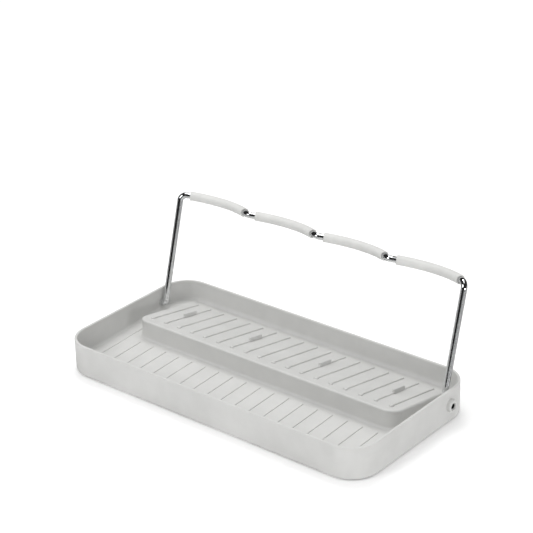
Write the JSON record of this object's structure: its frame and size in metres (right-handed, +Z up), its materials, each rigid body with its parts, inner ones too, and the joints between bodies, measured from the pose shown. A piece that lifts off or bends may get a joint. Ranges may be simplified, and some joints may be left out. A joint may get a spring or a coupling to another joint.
{
  "type": "bottle drying rack",
  "caption": "Drip tray with a sloping ribbed platform and a folding wire bail with padded scallops that holds bottles upside down to dry.",
  "frame": {"origin": "on the surface the rack stands on, in the middle of the space it takes with its bail up, so the tray's centre line is at y = -7.4 mm", "axes": "+X to the right along the tray, +Y to the back, where the bail leans, +Z up"},
  "size_m": [0.368, 0.1916, 0.1317],
  "materials": {
    "tray_plastic": "matte",
    "chrome": "polished",
    "sleeve_silicone": "matte",
    "foot_rubber": "matte"
  },
  "bodies": {
    "tray": {"tray": "tray_plastic", "pivot_bush_left": "tray_plastic", "pivot_bush_right": "tray_plastic", "foot_front_left": "foot_rubber", "foot_front_right": "foot_rubber", "foot_back_left": "foot_rubber", "foot_back_right": "foot_rubber"},
    "bail": {"bail_wire": "chrome", "sleeve_1": "sleeve_silicone", "sleeve_2": "sleeve_silicone", "sleeve_3": "sleeve_silicone", "sleeve_4": "sleeve_silicone"}
  },
  "joints": [
    {"name": "bail_fold", "type": "hinge", "parent": "tray", "child": "bail", "pos_m": [0, 0.04475, 0.0181], "axis": [1, 0, 0], "range_deg": [0, 109.5]}
  ]
}
